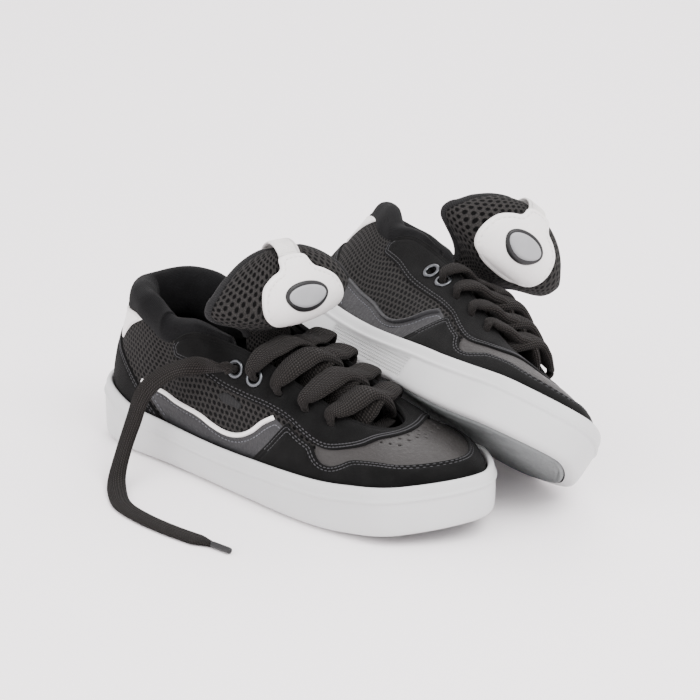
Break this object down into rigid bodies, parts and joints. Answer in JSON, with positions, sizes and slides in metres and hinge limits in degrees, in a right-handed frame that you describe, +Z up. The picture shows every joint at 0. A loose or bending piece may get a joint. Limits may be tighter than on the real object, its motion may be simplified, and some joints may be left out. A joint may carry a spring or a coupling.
{
  "type": "pair of skate trainers",
  "caption": "Low skate-style trainers with a thick white cupsole, suede overlays, mesh quarters, padded collar and tongue, and fat laces; one shoe lies tilted beside the other.",
  "frame": {"origin": "on the floor, at the middle of the pair's footprint without the loose lace end", "axes": "+Z up, +Y toward the toes of the upright shoe, +X toward its outer side; the tilted shoe is on the -X side"},
  "size_m": [0.3115, 0.3334, 0.1533],
  "materials": {
    "sole": "satin",
    "tread": "matt",
    "board": "matt",
    "bed": "matt",
    "lining": "matt",
    "mesh": "matt open mesh",
    "grain": "satin",
    "suede": "napped suede",
    "white": "satin",
    "dark_grain": "satin",
    "collar": "matt",
    "badge": "satin",
    "trim": "satin",
    "webbing": "ribbed",
    "tag": "matt",
    "ring": "dark nickel",
    "lace": "matt weave"
  },
  "bodies": {
    "right_shoe": {"right_cupsole": "sole", "right_tread": "tread", "right_insole_board": "board", "right_footbed": "bed", "right_lining_shell": "lining", "right_heel_stiffener": "board", "right_quarter_mesh_lateral": "mesh", "right_quarter_mesh_medial": "mesh", "right_vamp": "grain", "right_toe_cap": "suede", "right_eyestay": "suede", "right_heel_counter": "suede", "right_heel_tab": "white", "right_side_panel_lateral": "dark_grain", "right_side_panel_medial": "dark_grain", "right_piping_lateral": "white", "right_piping_medial": "dark_grain", "right_collar": "collar", "right_tongue_lower": "mesh", "right_side_tag": "tag", "right_eyelet_lateral_1": "ring", "right_eyelet_lateral_2": "ring", "right_eyelet_medial_1": "ring", "right_eyelet_medial_2": "ring", "right_lace": "lace", "right_lace_end": "lace", "right_aglet": "tag"},
    "right_tongue": {"right_tongue_upper": "mesh", "right_tongue_badge": "badge", "right_emblem": "trim", "right_pull_loop": "webbing"},
    "left_shoe": {"left_cupsole": "sole", "left_tread": "tread", "left_insole_board": "board", "left_footbed": "bed", "left_lining_shell": "lining", "left_heel_stiffener": "board", "left_quarter_mesh_lateral": "mesh", "left_quarter_mesh_medial": "mesh", "left_vamp": "grain", "left_toe_cap": "suede", "left_eyestay": "suede", "left_heel_counter": "suede", "left_heel_tab": "white", "left_side_panel_lateral": "dark_grain", "left_side_panel_medial": "dark_grain", "left_piping_lateral": "white", "left_piping_medial": "dark_grain", "left_collar": "collar", "left_tongue_lower": "mesh", "left_side_tag": "tag", "left_eyelet_lateral_1": "ring", "left_eyelet_lateral_2": "ring", "left_eyelet_medial_1": "ring", "left_eyelet_medial_2": "ring", "left_lace": "lace"},
    "left_tongue": {"left_tongue_upper": "mesh", "left_tongue_badge": "badge", "left_emblem": "trim", "left_pull_loop": "webbing"}
  },
  "joints": [
    {"name": "right_tongue_flex", "type": "hinge", "parent": "right_shoe", "child": "right_tongue", "pos_m": [0.06975, -0.02786, 0.08488], "axis": [-1, 0, 0], "range_deg": [-4, 20], "stiffness_Nm_per_rad": 0.4},
    {"name": "left_shoe_lift", "type": "slide", "parent": "right_shoe", "child": "left_shoe", "axis": [0, 0, 1], "range_m": [0, 0.2]},
    {"name": "left_tongue_flex", "type": "hinge", "parent": "left_shoe", "child": "left_tongue", "pos_m": [-0.06304, 0.02124, 0.09716], "axis": [-0.7198, 0.2269, -0.6561], "range_deg": [-4, 20], "stiffness_Nm_per_rad": 0.4}
  ]
}
